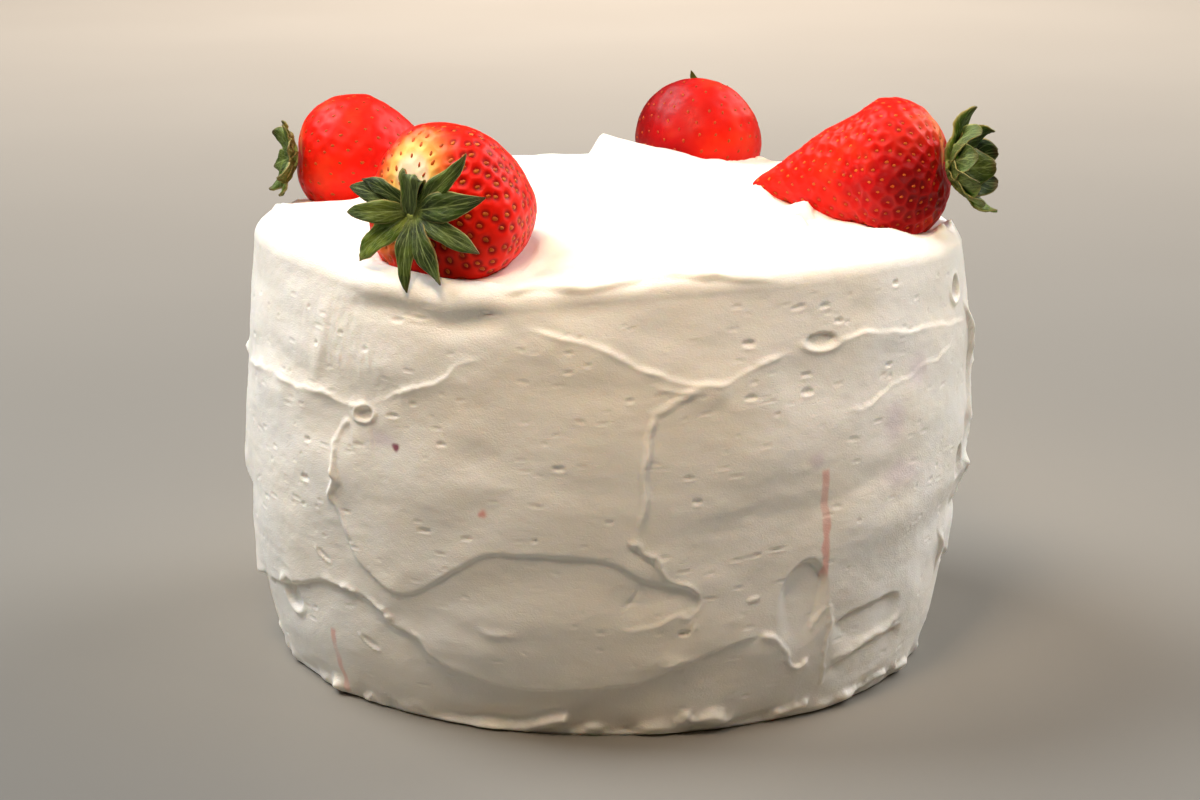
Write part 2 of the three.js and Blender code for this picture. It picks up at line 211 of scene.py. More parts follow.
# Strokes on the top, in the X, Y plane.
TOP_LAPS = [
    stroke((-8, -10.5), (3, -9), (14, -8.5), high=(0.7, 8), low=(0.3, 4), fade=(3, 3)),
    stroke((-17, -29), (-6, -37), (8, -47), (22, -52), high=(0.9, 9), low=(0.4, 4)),
    stroke((-62, -8), (-40, -14), (-22, -12), (-6, -2), (4, 14), (4, 32), high=(0.8, 9), low=(0.4, 4)),
    stroke((30, -40), (44, -24), (48, -4), (40, 16), (24, 28), high=(0.9, 8), low=(0.4, 4),
           bead=(0.3, 0.8)),
    stroke((20, 30), (2, 36), (-18, 34), (-34, 22), (-42, 6), high=(0.9, 9), low=(0.4, 4), bead=(0.3, 0.8)),
    stroke((52, 30), (40, 46), (24, 56), high=(0.7, 7), low=(0.3, 4)),
    stroke((-20, 62), (-40, 52), (-56, 36), high=(0.8, 7), low=(0.3, 4), bead=(0.3, 0.8)),
    stroke((62, 18), (66, 2), (62, -10), high=(0.6, 6), low=(0.3, 4)),
    stroke((12, -62), (34, -56), (54, -42), high=(0.6, 6), low=(0.3, 4)),
]

# Broad swells and hollows left by the spatula: across, height, half length, half height and rise.
SWELLS = [
    (-20, 1, 75, 12, -1), (-46, 80, 24, 7, 0.6), (16, 92.5, 32, 6.5, -1), (28, 58, 22, 10, 0.7),
    (-30, 56, 24, 8, 0.5), (30, 66, 14, 9, 0.4), (60, 62, 20, 8, 0.5), (-20, 27, 18, 4, 0.6),
    (-30, 20, 16, 4, 0.4), (66, 40, 22, 6, 0.5), (-80, 45, 16, 10, 0.5), (84, 22, 5, 5, 0.6),
    (9, 33, 7, 4, -0.6), (-150, 60, 20, 10, 0.7), (170, 58, 24, 9, 0.7), (220, 32, 22, 8, 0.6),
    (-200, 34, 22, 8, 0.6),
]

# Bubbles, prints and dents: across, height, half length, half height, tilt in degrees, depth, slope,
# square, lip and rim. slope makes the top edge deeper than the bottom, square over 2 squares the
# outline, lip raises the lower edge and rim the whole edge.
HOLLOWS = [
    (-55.8, 69, 2.5, 1.6, 10, 0.75, 0, 2, 0.3, 0.25), (49, 85.5, 4.4, 1.8, -4, 1.2, 0.75, 2, 0.4, 0),
    (-86, 21, 4.2, 3.4, -40, 1.7, 0.5, 2, 0.6, 0.15), (45, 27, 6.6, 11.5, -6, 1.8, 0.75, 2, 0, 0),
    (66, 19.2, 12.5, 4.8, 5, 2.1, 0.9, 3, 0, 0), (68, 10, 14.5, 4.6, 9, 1.6, 0.9, 3, 0, 0),
    (16.4, 25, 1.3, 0.7, 0, 0.8, 0, 2, 0, 0), (104.5, 88, 2.8, 3.2, 0, 1.6, 0, 2, 0.4, 0.2),
    (108, 47, 3.6, 4.2, 0, 1.6, 0, 2, 0, 0), (-57.5, 16.4, 2.5, 0.8, -24, 0.35, 0, 2, 0.3, 0),
    (-70, 34.5, 2.3, 0.7, -30, 0.3, 0, 2, 0.3, 0), (32, 31, 1.8, 0.6, 10, -0.5, 0, 2, 0, 0),
    (150, 84, 3.2, 1.7, 5, 1.4, 0.6, 2, 0.4, 0), (-160, 60, 2.6, 2, 0, 1.4, 0, 2, 0.4, 0),
    (196, 33, 9, 5, -8, 1.2, 0.85, 3, 0, 0), (-218, 34, 6, 9, 10, 1.2, 0.85, 2, 0, 0),
    (238, 58, 2.8, 1.6, 0, 1.3, 0.6, 2, 0.4, 0),
]

# The larger of the torn pits on the front: across, height, half length and half height.
FRONT_PITS = [
    (43, 93.1, 2.1, 0.5), (50, 92.6, 1.6, 0.5), (54, 89, 1.4, 0.5), (73, 94.3, 1.4, 0.7),
    (31, 86.4, 1.6, 0.8), (45, 78.7, 1.7, 0.5), (45, 75.2, 1.7, 0.7), (31, 75.5, 1.6, 0.6),
    (70, 77, 1.3, 0.5), (-8, 85.5, 1.2, 0.4), (-4, 83, 1, 0.4), (-8, 81.5, 1.1, 0.4), (5, 75.7, 1, 0.5),
    (-1, 71.5, 1.3, 0.3), (-13, 66.5, 0.9, 0.3), (-10, 61.5, 1.5, 0.6), (-17, 60.5, 1.6, 0.3),
    (-24, 53.5, 1.4, 0.3), (-15, 46, 0.7, 0.5), (17, 59, 1.1, 0.5), (19, 53.8, 1.1, 0.6),
    (-76, 67.5, 0.9, 0.3), (-74, 60, 1.1, 0.6), (-75, 51.5, 1.5, 0.7), (-48, 69.5, 1.7, 0.5),
    (-43, 72.5, 0.9, 0.5), (-36, 64.5, 1.3, 0.5), (-34, 84.5, 1.3, 0.3), (-63, 85.5, 0.8, 0.5),
    (-71, 82, 0.8, 0.5), (-26, 93, 2, 0.4), (-40, 45.5, 1.7, 0.5), (-30, 45, 1.4, 0.4), (80, 48, 0.8, 0.4),
    (28, 40.5, 1.6, 0.4), (33, 41.2, 1.4, 0.4), (57, 34.5, 0.8, 0.4),
]

# The small ones, placed at random within these limits.
SMALL_PITS = {"count": 720, "height": (5, 96), "half_length": (0.6, 2.0), "half_height": (0.2, 0.36)}

# Small peaks pulled up on the rim: angle in degrees, distance inside the edge, height and width.
RIM_PEAKS = [(-9, 1.5, 3.2, 2.2), (-14, 3, 2.4, 1.8), (-4, 4.5, 2.6, 2.4), (173, 2, 1.6, 2.2),
             (178, 5, 1.2, 2.5)]

# Low mounds on the top: x, y, radius and height.
MOUNDS = [(35.5, -2.5, 5, 2.2), (46, -12.5, 4, 1.8), (64, -30, 5, 1.0), (60, -46, 7, 0.8),
          (-20, -62, 8, 0.8), (4, 70, 14, 1.3), (30, 74, 12, 1.2), (-50, 8, 8, 3.2), (-42, 17, 8, 3.0)]

# Juice on the cream: streaks as (across, low, high, half width) and specks as (across, height, radius,
# strength). The plum speck is a dark crumb with faint mauve clouds beside it and elsewhere.
JUICE_STREAKS = [(50.4, 31, 58.8, 1.15), (-69.6, -1, 18.2, 1.1)]
JUICE_SPECKS = [(-26, 51, 0.9, 0.55), (-27, 50.6, 0.5, 0.4)]
PLUM_SPECKS = [(-47, 62.6, 1.0, 0.9), (-48.2, 63.3, 0.8, 0.5)]
MAUVE_CLOUDS = [(-51, 64.2, 4, 1.8), (71, 64, 4, 5), (81, 74, 4, 4), (74, 52, 7, 3.5), (47, 60, 2, 2)]

# ---- Strawberries ----

# crown, axis, length, width, squash and the outline are those of the CAD solids. dimple is the depth of
# the dimples and net that of the ridges between them. pale has the turn, spread and strength of each
# pale patch beside the crown. deep turns the flesh from orange red, 0, to crimson, 1, at the tip and at
# the crown. sunny is the turn and strength of a lighter side; the side opposite it is deeper, partly the
# berry's own colour and partly painted shade, which past crimson turns to a near black red. seed_size and
# seed_tone, from red 0 to gold 1, are those of the seeds, and ring is how dark the painted shade in the
# dimples is. A leaf_power under 1 blunts the leaves.
STRAWBERRIES = {
    "front_left": dict(
        crown=(-40, -65.9, 112.6), axis=(-0.54, -0.835, 0.105), length=36, width=35.8, squash=1.0,
        widest=0.71, bluntness=1.7, belly=0.63, rings=(130, 260), seeds=430, dimple=0.42, net=0.16,
        pale=[(104, 50, 1.0), (-135, 26, 0.5)], deep=(0.45, 0.15), sunny=(90, 0.1), seed_size=1.0,
        seed_tone=0.6, ring=0.95, leaf_power=1.0,
    ),
    "right": dict(
        crown=(77, -17.5, 113.9), axis=(0.92, -0.37, 0.145), length=46.8, width=31, squash=1.08,
        widest=0.7, bluntness=0.95, belly=0.82, rings=(130, 240), seeds=390, dimple=0.4, net=0.3,
        pale=[(80, 30, 0.24)], deep=(0.05, 0.95), sunny=(85, 0.3), seed_size=0.66, seed_tone=0.55, ring=0.5,
        leaf_power=0.55,
    ),
    "back_left": dict(
        crown=(-74.5, 21.6, 110.3), axis=(-0.96, -0.26, 0.06), length=36, width=30.4, squash=0.99,
        widest=0.56, bluntness=1.45, belly=0.98, rings=(90, 160), seeds=200, dimple=0.24, net=0.05,
        pale=[(100, 50, 0.2)], deep=(0.25, 0.0), sunny=(200, 0.15), seed_size=0.72, seed_tone=0.3,
        ring=0.2, leaf_power=0.7,
    ),
    "back_right": dict(
        crown=(25.8, 78, 112), axis=(0.22, 0.87, 0.4), length=29, width=32.8, squash=0.94,
        widest=0.68, bluntness=1.72, belly=0.6, rings=(90, 160), seeds=200, dimple=0.2, net=0.04,
        pale=[(0, 40, 0.1)], deep=(0.85, 0.95), sunny=(180, 0.6), seed_size=0.7, seed_tone=0.25,
        ring=0.2, leaf_power=1.0,
    ),
}

# The leaves of each cap: turn round the axis, length, width, lift at the foot and at the tip, sway
# towards a larger turn, twist, and tone from dark green to yellow green. A tone under 0 is painted shade,
# which darkens a leaf to near black.
SEPALS = {
    "front_left": [
        (34, 20.5, 4.6, 24, 2, 4, 10, 0.3), (10, 19.5, 6.2, 30, -26, 4, 8, 0.1),
        (-18, 19.5, 5.2, 24, -20, -8, -10, 0.25), (-54, 17.5, 5.4, 30, -16, -4, 14, 0.15),
        (-85, 16.5, 4.4, 30, -6, 0, -12, 0.25), (-138, 17, 6, 24, -18, -6, 12, 0.9),
        (-174, 16, 4.8, 50, -34, 0, -6, 0.5), (158, 17, 4.6, 26, -24, 26, 10, 0.25),
        # this leaf folds over the middle and is painted near black as shade by its tone
        (140, 13, 4, 34, -16, 44, -14, 0), (80, 18.5, 5.6, 12, 194, 0, 0, -0.6),
    ],
    "right": [
        (8, 13, 8.5, 14, 84, 4, 0, 0.1), (52, 13, 8, 22, 80, -4, 8, 0.2),
        (84, 14, 6.5, 16, 46, -6, -8, 0.4), (118, 13, 8.4, 16, 86, 6, 0, 0.2),
        (160, 12, 8, 16, 92, 0, 0, 0.1), (204, 12.5, 8.4, 12, 86, 6, 10, 0.2),
        (240, 12.5, 8.2, 12, 84, -6, 0, 0.7), (282, 14, 8, 20, 66, -4, -8, 0.9),
        (322, 12.5, 9.4, 14, 88, 4, 0, 0), (346, 11, 8.6, 26, 100, 4, 0, 0.4),
    ],
    "back_left": [
        (20, 9.5, 6.4, 16, 34, 0, 0, 0.4), (62, 8.6, 6.2, 20, 40, 4, 6, 0.6),
        (108, 8, 6.4, 14, 30, 0, 0, 0.5), (154, 10, 6.6, 12, 34, -4, 0, 0.5),
        (200, 9.5, 6.2, 16, 30, 0, -6, 0.4), (245, 10, 6.6, 20, 44, 4, 0, 0.6),
        (290, 9.5, 6.6, 16, 34, 0, 6, 0.4), (335, 10, 6, 20, 40, -4, 0, 0.5),
    ],
    "back_right": [
        (34, 11, 5.6, 2, -8, 0, 0, 0.4), (72, 11.2, 4, 14, 24, 0, 0, 0.6),
        (124, 10.5, 5.2, 0, -10, 0, 0, 0.3), (164, 10.5, 5.8, 6, 0, 0, 0, 0.4),
        (204, 11, 5.2, 4, 6, -4, 0, 0.3), (244, 10.5, 5.6, 8, 0, 0, 0, 0.4),
        (284, 11, 5.4, 2, 8, 4, 0, 0.3), (324, 10.5, 5.6, 4, 0, 0, 0, 0.4),
    ],
}

SHOULDER_POWER = 2.4
CROWN_DIMPLE = 1.1
CALYX_GAP = 0.3
HUB_RADIUS = 2.6
SEED_LENGTH = 1.4
SEED_WIDTH = 0.85
SEED_HEIGHT = 0.4
# How far a seed is turned out of line, in radians, and the limits of its size.
SEED_SPIN = 0.15
SEED_SIZES = (0.85, 1.15)
SEPAL_ROWS = 30
SEPAL_COLUMNS = 13
# Share of a sepal's length and of its width.
SEPAL_OUTLINE = [(0, 0.5), (0.12, 0.72), (0.3, 0.97), (0.45, 1), (0.62, 0.88), (0.78, 0.62),
                 (0.9, 0.32), (1, 0.04)]

# ---- The stage, in metres ----

FLOOR_RADIUS = 6
LENS_MM = 79.7
CAMERA_PLACE = (0, -0.6136, 0.2102)
# How far the camera looks down and to the left, in degrees.
CAMERA_DIP = 14.18
CAMERA_TURN = 0.15
# Name, place, aim, diameter, power in watts, colour, and spread in degrees.
LIGHTS = [
    ("left_window", (-1.7, 0.7, 2.4), (0, 0, 0.08), 1.8, 110, (0.98, 0.99, 1.0), 180),
    ("right_window", (1.7, 0.3, 2.4), (0, 0, 0.08), 1.8, 20, (0.8, 0.85, 1.0), 180),
    ("far_window", (2.0, 1.3, 1.6), (0, 0, 0.08), 1.8, 60, (1.0, 0.98, 0.94), 180),
    ("backdrop", (0, 1.6, 1.6), (0, 1.6, 0), 0.6, 18, (1.0, 0.84, 0.72), 90),
    ("lamp", (-0.06, -0.22, 0.45), (0.01, -0.03, 0.135), 0.18, 0.13, (1.0, 0.77, 0.55), 40),
    ("left_lamp", (-0.34, -0.2, 0.42), (-0.08, -0.035, 0.095), 0.12, 0.009, (0.97, 0.98, 1.0), 20),
    ("right_lamp", (0.3, -0.25, 0.42), (0.06, -0.05, 0.1), 0.1, 0.016, (1.0, 0.9, 0.8), 26),
]
ROOM_COLOUR = (1.0, 0.72, 0.44, 1)
ROOM_STRENGTH = 0.04


# ---- Small helpers ----

def smooth(x, low, high):
    share = np.clip((x - low) / (high - low), 0, 1)
    return share * share * (3 - 2 * share)


def bell(x, width):
    return np.exp(-((x / width) ** 2))


def turn(a, b):
    """The angle from b to a in degrees, between -180 and 180."""
    return (a - b + 180) % 360 - 180


def unit(vectors):
    return vectors / np.linalg.norm(vectors, axis=-1, keepdims=True)


LATTICE = np.random.default_rng(7).uniform(-1, 1, (64, 64, 64))


def noise(points, size):
    """Smooth noise from -1 to 1 at rows of x, y, z, with lumps about as large as size. A number added to
    the points before the call gives other lumps, so that no two uses are alike."""
    place = np.asarray(points, float) / size
    cell = np.floor(place).astype(int)
    inner = place - cell
    inner = inner * inner * (3 - 2 * inner)
    total = 0
    for corner in np.ndindex(2, 2, 2):
        weight = np.prod(np.where(corner, inner, 1 - inner), axis=-1)
        x, y, z = ((cell + corner) % len(LATTICE)).T
        total = total + weight * LATTICE[x, y, z]
    return total * 1.6


def rough(points, size, octaves):
    """Noise with finer lumps added, each half as large and half as strong."""
    return sum(noise(points + 17.3 * i, size / 2**i) / 2**i for i in range(octaves))


def smooth_path(path):
    """A polyline through the points of path, curved between them, in steps of about a millimetre."""
    points = np.array(path, float)
    p = np.concatenate([[2 * points[0] - points[1]], points, [2 * points[-1] - points[-2]]])
    line = []
    for i in range(1, len(p) - 2):
        count = max(2, int(np.linalg.norm(p[i + 1] - p[i])))
        t = np.arange(count)[:, None] / count
        line.append(0.5 * (2 * p[i] + t * (p[i + 1] - p[i - 1])
                           + t**2 * (2 * p[i - 1] - 5 * p[i] + 4 * p[i + 1] - p[i + 2])
                           + t**3 * (3 * p[i] - p[i - 1] - 3 * p[i + 1] + p[i + 2])))
    return np.concatenate([*line, points[-1:]])


def mesh_object(name, points, faces):
    """A smooth-shaded object, from points in millimetres."""
    mesh = bpy.data.meshes.new(name)
    mesh.from_pydata((np.asarray(points) * MM).tolist(), [], faces)
    mesh.shade_smooth()
    made = bpy.data.objects.new(name, mesh)
    bpy.context.scene.collection.objects.link(made)
    return made


def paint(piece, name, values):
    """Stores one number for each point, which the materials read by name."""
    layer = piece.data.attributes.new(name, "FLOAT", "POINT")
    layer.data.foreach_set("value", np.asarray(values, np.float32))


def skin_faces(counts):
    """Faces over a stack of rings with these counts of points. A ring may have half or twice the points
    of the one before it. One point before them all and one after them all close the ends."""
    faces = []

    def add(*corners):
        faces.extend(np.stack(np.broadcast_arrays(*corners), 1).tolist())

    start = 1
    j = np.arange(counts[0])
    add(0, start + (j + 1) % counts[0], start + j)
    for low, high in zip(counts, counts[1:]):
        a, b = start, start + low
        j = np.arange(min(low, high))
        k, o = (j + 1) % len(j), 2 * j
        if low == high:
            add(a + j, a + k, b + k, b + j)
        elif low > high:
            add(a + o, a + o + 1, b + j)
            add(a + o + 1, a + (o + 2) % low, b + k)
            add(a + o + 1, b + k, b + j)
        else:
            add(a + j, b + o + 1, b + o)
            add(a + j, a + k, b + o + 1)
            add(a + k, b + (o + 2) % high, b + o + 1)
        start += low
    j = np.arange(counts[-1])
    add(start + j, start + (j + 1) % counts[-1], start + counts[-1])
    return faces


# ---- Relief ----

def follow(line, points):
    """For each point: its distance from the line, negative on the right, the length walked along the
    line to the nearest place, and the direction to the left there. Also the line's whole length."""
    best = np.full(len(points), np.inf)
    side = np.zeros(len(points))
    along = np.zeros(len(points))
    normal = np.zeros((len(points), 2))
    walked = 0.0
    for a, b in zip(line, line[1:]):
        step = b - a
        length = np.hypot(*step)
        step = step / length
        t = np.clip((points - a) @ step, 0, length)
        offset = points - a - t[:, None] * step
        distance = np.hypot(*offset.T)
        cross = step[0] * offset[:, 1] - step[1] * offset[:, 0]
        closer = (distance < best - 1e-6) | ((distance < best + 1e-6) & (abs(cross) > abs(side)))
        best[closer] = distance[closer]
        side[closer] = cross[closer]
        along[closer] = walked + t[closer]
        normal[closer] = (-step[1], step[0])
        walked += length
    return np.where(side >= 0, best, -best), along, normal, walked


def lap(u, v, path, high=(0, 4), low=(0, 4), bead=(0, 0.8), curl=0, groove=(0, 0, 1), fade=(8, 8),
        ragged=0.15):
    """How far one lap lifts the points (u, v) off the surface and shifts them along u and v."""
    line = smooth_path(path)
    margin = 4 * max(high[1] * (high[0] > 0), low[1] * (low[0] > 0), 2 + abs(groove[0]) + groove[2])
    left, bottom = line.min(0) - margin
    right, top = line.max(0) + margin
    near = np.flatnonzero((u > left) & (u < right) & (v > bottom) & (v < top))
    points = np.stack([u[near], v[near]], 1)
    d, along, normal, length = follow(line, points)

    def taper(shortest):
        start, end = (min(max(reach, shortest), length / 2) for reach in fade)
        return smooth(along, 0, start) * smooth(length - along, 0, end)

    trough = groove[1] * bell(d - groove[0], groove[2]) * taper(2.5 * groove[2])
    # the edge is torn, but not what lies further from it
    spot = np.column_stack([points, np.zeros(len(points))])
    d = d + ragged * bell(d, 1.5 + bead[1]) * (1.4 * noise(spot, 3.6) + 0.7 * noise(spot + 9, 1.3))
    uneven = 1 + np.clip(0.25 + ragged, 0, 0.8) * noise(spot + 40, 4.5)
    over = 0.5 + 0.5 * np.tanh(d / 0.25)
    lift = over * high[0] * uneven * np.exp(-np.maximum(d, 0) / high[1])
    lift -= (1 - over) * low[0] * np.exp(-np.maximum(-d, 0) / low[1])
    lift += bead[0] * uneven * bell(d, bead[1])
    lean = -curl * uneven * bell(d - 0.3, 1)
    out, shift = np.zeros(len(u)), np.zeros((len(u), 2))
    out[near] = lift * taper(0) - trough
    shift[near] = normal * (lean * taper(0))[:, None]
    return out, shift


def laps(u, v, strokes):
    lifted, shifted = np.zeros(len(u)), np.zeros((len(u), 2))
    for row in strokes:
        lift, shift = lap(u, v, **row)
        lifted += lift
        shifted += shift
    return lifted, shifted


def hollow(u, v, across, height, half_length, half_height, tilt, depth, slope, square, lip, rim):
    """How far one bubble, print or dent lifts the points, which is mostly a negative number."""
    tilt = math.radians(tilt)
    du, dv = u - across, v - height
    x = (du * math.cos(tilt) + dv * math.sin(tilt)) / half_length
    y = (dv * math.cos(tilt) - du * math.sin(tilt)) / half_height
    q = (abs(x) ** square + abs(y) ** square) ** (1 / square)
    soft = 0.12 + 0.45 * (1 - smooth(y, -0.3, 0.8))
    bowl = np.sqrt(np.clip(1 - q**2, 0, 1)) if slope == 0 else 1 - smooth(q, 1 - soft, 1.02)
    deepened = 1 - slope * np.clip(0.5 - 0.5 * y, 0, 1)
    edge = bell(q - 1.15, 0.22)
    return -depth * bowl * deepened + lip * edge * np.clip(0.4 - y, 0, 1) + rim * edge


def pits(u, v, rows):
    """Small tears with a sharp upper edge."""
    out = np.zeros_like(u)
    for across, height, half_length, half_height in rows:
        near = np.flatnonzero((abs(u - across) < 1.6 * half_length) & (abs(v - height) < 2.4 * half_height))
        x, y = (u[near] - across) / half_length, (v[near] - height) / half_height
        bowl = np.clip(1 - x**2 - y**2, 0, 1) ** 0.6
        out[near] += 0.75 * half_height * (0.4 * bell(y + 1.25, 0.5) * bell(x, 0.9) - bowl)
    return out


def small_pits():
    rng = np.random.default_rng(21)
    girth = math.pi * WAIST_RADIUS
    limits = (-girth, girth), SMALL_PITS["height"], SMALL_PITS["half_length"], SMALL_PITS["half_height"]
    return zip(*(rng.uniform(low, high, SMALL_PITS["count"]) for low, high in limits))


# ---- The frosting ----

def rim_height(angle):
    return RIM_HEIGHT - sum(depth * bell(turn(angle, at), width) for at, width, depth in RIM_SAGS)


def side_radius(angle, z):
    plain = WAIST_RADIUS - FOOT_TUCK * np.exp(-z / FOOT_HEIGHT) - SHOULDER_LEAN * (z / RIM_HEIGHT) ** 4
    smeared = sum(thick * bell(turn(angle, at), spread) * bell(z - height, rise)
                  for at, height, spread, rise, thick in SIDE_SMEARS)
    turned = np.radians(angle)
    uneven = 0.3 * np.sin(2 * turned + 0.8) + 0.3 * np.sin(5 * turned - z / 19)
    tucked = sum(depth * bell(turn(angle, at), width) * (1 - smooth(z, top - 5, top + 5))
                 for at, width, top, depth in SIDE_TUCKS)
    return plain + (smeared + uneven) * smooth(z, 0, FOOT_HEIGHT) - tucked


def top_height(angle, radius):
    towards_rim = smooth(radius, PLATEAU_RADIUS * 0.5, WAIST_RADIUS - RIM_ROUND)
    plateau = RIM_HEIGHT + PLATEAU_RISE
    level = plateau + (rim_height(angle) - plateau) * towards_rim
    angle = turn(angle, 90) + 90
    climb = np.clip((angle - CREST["from"]) / (CREST["to"] - CREST["from"]), 0, 1)
    cliff = 1 - smooth(angle, CREST["to"], CREST["to"] + CREST["drop"])
    away = radius - CREST["radius"]
    width = np.where(away < 0, CREST["inner"], CREST["outer"])
    return level + CREST["rise"] * climb * cliff * bell(away, width)


def column_angles():
    """Angles of the mesh's columns, twice as close on the front as elsewhere."""
    fine = np.linspace(-270, 90, 3601)
    density = 1 + 1.1 * (1 - smooth(abs(fine + 90), 70, 85))
    total = np.concatenate([[0], np.cumsum(density[:-1])])
    wanted = np.arange(COLUMNS) * total[-1] / COLUMNS
    return np.interp(wanted, total, fine)


def cake_rings():
    """The rings of the plain skin, from under the foot to the middle of the top. For every point: its
    angle, radius, height, and the slope of its outward direction in radians."""
    angles = column_angles()
    lowest, innermost = 0.6, 2
    shoulder = rim_height(angles) - RIM_ROUND
    edge = side_radius(angles, shoulder) - RIM_ROUND
    rings = []

    def ring(radius, z, slope, stride=1):
        rings.append([np.broadcast_to(x, angles.shape)[::stride] for x in (angles, radius, z, slope)])

    for i in range(1, BASE_ROWS + 1):
        ring((side_radius(angles, 0) - 1) * i / BASE_ROWS, 0, -math.pi / 2, 2 ** max(0, 4 - i))
    for i in range(SIDE_ROWS + 1):
        z = lowest + (shoulder - lowest) * i / SIDE_ROWS
        ring(side_radius(angles, z), z, 0)
    for i in range(1, RIM_ROWS + 1):
        bend = math.pi / 2 * i / RIM_ROWS
        ring(edge + RIM_ROUND * math.cos(bend), shoulder + RIM_ROUND * math.sin(bend), bend)
    outermost = WAIST_RADIUS - RIM_ROUND - 3
    radius = outermost
    while radius > innermost:
        share = radius / (outermost + 0.8)
        stride = 2 ** sum(radius < limit for limit in HALVINGS)
        ring(share * edge, top_height(angles, share * edge), math.pi / 2, stride)
        radius -= TOP_RING_GAP * stride**0.7
    return rings


def side_relief(spot, across, height):
    """How far the side's points rise off the plain skin, and how far they shift across and up."""
    u = across + 0.35 * noise(spot, 6)
    v = height + 0.35 * noise(spot + 90, 7)
    lifted, shift = laps(u, v, FRONT_LAPS + BACK_LAPS)
    lifted += sum(hollow(u, v, *row) for row in HOLLOWS)
    lifted += pits(across + 0.2 * noise(spot, 1.2), v, [*FRONT_PITS, *small_pits()])
    lifted += sum(rise * bell(u - at, half_length) * bell(v - z, half_height)
                  for at, z, half_length, half_height, rise in SWELLS)
    stretched = spot * (1, 1, 1.8)
    lifted += 0.3 * rough(stretched + 200, 20, 2) + 0.035 * rough(stretched + 300, 3, 2)
    lifted += (1.1 * noise(spot + 700, 9) + 0.5 * noise(spot + 730, 3.5)) * bell(height - 1.2, 2.5)
    streaky = bell(across + 60, 17) * bell(height - 84, 12)
    lifted += 0.07 * streaky * noise(spot * (1, 1, 0.35) + 750, 1)
    settle = smooth(height, -1.5, 2.5)
    return lifted * settle, shift * settle[:, None]


def top_relief(spot, radius):
    """How far the top's points rise off the plain skin."""
    x, y, _ = spot.T
    wavy = 1.2 * rough(spot, 7, 3)
    lifted, _ = laps(x + wavy, y - wavy, TOP_LAPS)
    lifted += 0.5 * rough(spot + 400, 20, 3) + 0.12 * rough(spot + 500, 4, 2)
    lifted += sum(rise * bell(np.hypot(x - at_x, y - at_y), wide) for at_x, at_y, wide, rise in MOUNDS)
    edge = smooth(radius, 74, 80)
    return lifted * (1 - edge) + 0.6 * edge * noise(spot * (1, 1, 0) + 600, 9)


def peaks(place):
    """How far the points of the rim are pulled up into peaks."""
    lifted = 0
    for angle, inside, rise, width in RIM_PEAKS:
        reach = WAIST_RADIUS - SHOULDER_LEAN - inside
        turned = math.radians(angle)
        away = np.hypot(place[:, 0] - reach * math.cos(turned), place[:, 1] - reach * math.sin(turned))
        lifted += rise * np.exp(-away / width)
    return lifted


def stains(spot, across, height):
    """The strength of the juice, the mauve clouds and the plum specks at each point of the side."""
    across = across + 0.4 * noise(spot + 800, 2.5)
    height = height + 0.4 * noise(spot + 850, 2.5)

    def specks(rows):
        return sum(bell(np.hypot(across - at, height - z), size) * strength for at, z, size, strength in rows)

    streaks = 0.42 * (0.85 + 0.2 * noise(spot + 900, 4)) * sum(
        (1 - smooth(abs(across - at + 0.02 * (height - low)), 0.55 * half, 1.25 * half))
        * smooth(height, low - 0.6, low + 4) * (1 - smooth(height, high - 1.5, high))
        for at, low, high, half in JUICE_STREAKS)
    mauve = sum(bell(across - at, wide) * bell(height - z, tall) for at, z, wide, tall in MAUVE_CLOUDS)
    return {"juice": streaks + specks(JUICE_SPECKS), "mauve": mauve, "plum": specks(PLUM_SPECKS)}


def frosting():
    """The coat of cream, with its stains painted on."""
    rings = cake_rings()
    angle, radius, z, slope = (np.concatenate(values) for values in zip(*rings))
    turned = np.radians(angle)
    outward = np.stack([np.cos(turned) * np.cos(slope), np.sin(turned) * np.cos(slope), np.sin(slope)], 1)
    aside = np.stack([-np.sin(turned), np.cos(turned), 0 * turned], 1)
    place = np.stack([radius * np.cos(turned), radius * np.sin(turned), z], 1)

    side = np.flatnonzero((slope > SIDE_SLOPE) & (slope < TOP_SLOPE))
    spot, height = place[side], z[side]
    across = np.radians(turn(angle[side] + 90, 0)) * WAIST_RADIUS
    lifted, shift = side_relief(spot, across, height)
    place[side] += outward[side] * lifted[:, None] + aside[side] * shift[:, :1]
    place[side, 2] += shift[:, 1]
    top = slope > TOP_SLOPE
    place[top, 2] += top_relief(place[top], radius[top])
    place[:, 2] += peaks(place) * (slope > RIM_SLOPE)
    place[:, 2] = np.maximum(place[:, 2], 0)

    points = np.concatenate([[[0, 0, 0]], place, [[0, 0, place[-1, 2]]]])
    piece = mesh_object("frosting", points, skin_faces([len(ring[0]) for ring in rings]))
    for name, strength in stains(spot, across, height).items():
        whole = np.zeros(len(points))
        whole[side + 1] = np.clip(strength, 0, 1)
        paint(piece, name, whole)
    return piece


